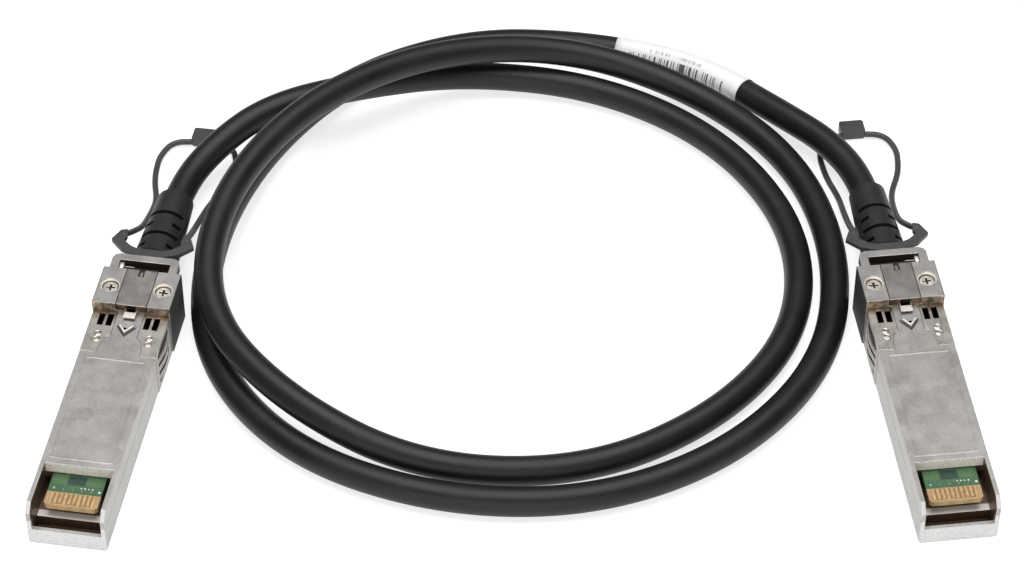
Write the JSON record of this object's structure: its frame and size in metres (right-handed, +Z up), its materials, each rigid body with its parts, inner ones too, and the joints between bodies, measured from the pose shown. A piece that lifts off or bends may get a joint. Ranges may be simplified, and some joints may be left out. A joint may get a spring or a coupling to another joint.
{
  "type": "direct attach copper cable",
  "caption": "Direct attach copper cable: short twinaxial cable in loose loops, with a latching network plug and a pull-tab release at each end.",
  "frame": {"origin": "bottom centre of the box round the two plugs, on the table", "axes": "+X from the left plug to the right one, +Y from the plugs' noses towards the cable, +Z up"},
  "size_m": [0.1618, 0.1311, 0.0166],
  "materials": {
    "die_cast": "matte die-cast, nickel plated",
    "nickel_sheet": "bright nickel plate",
    "slide_plate": "satin nickel plate",
    "tab_plastic": "moulded, satin",
    "board_laminate": "green solder mask",
    "gold_contacts": "gold plate",
    "component_body": "moulded",
    "wire_foil": "foil",
    "screw_steel": "bright plate",
    "ferrule_metal": "plated",
    "relief_rubber": "matte",
    "cable_jacket": "satin jacket",
    "label_film": "matte film"
  },
  "bodies": {
    "cable_assembly": {"left_bottom_shell": "die_cast", "left_top_shell": "die_cast", "left_emi_collar": "nickel_sheet", "left_circuit_board": "board_laminate", "left_edge_contacts": "gold_contacts", "left_board_components": "component_body", "left_twinax_pairs": "wire_foil", "left_cover_screws": "screw_steel", "left_crimp_ferrule": "ferrule_metal", "left_strain_relief": "relief_rubber", "right_bottom_shell": "die_cast", "right_top_shell": "die_cast", "right_emi_collar": "nickel_sheet", "right_circuit_board": "board_laminate", "right_edge_contacts": "gold_contacts", "right_board_components": "component_body", "right_twinax_pairs": "wire_foil", "right_cover_screws": "screw_steel", "right_crimp_ferrule": "ferrule_metal", "right_strain_relief": "relief_rubber", "cable": "cable_jacket", "cable_label": "label_film"},
    "left_release": {"left_release_slide": "slide_plate", "left_pull_tab": "tab_plastic"},
    "right_release": {"right_release_slide": "slide_plate", "right_pull_tab": "tab_plastic"}
  },
  "joints": [
    {"name": "left_release_pull", "type": "slide", "parent": "cable_assembly", "child": "left_release", "axis": [0.1547, 0.988, 0], "range_m": [0, 0.0019], "stiffness_N_per_m": 400},
    {"name": "right_release_pull", "type": "slide", "parent": "cable_assembly", "child": "right_release", "axis": [-0.1167, 0.9932, 0], "range_m": [0, 0.0019], "stiffness_N_per_m": 400}
  ]
}
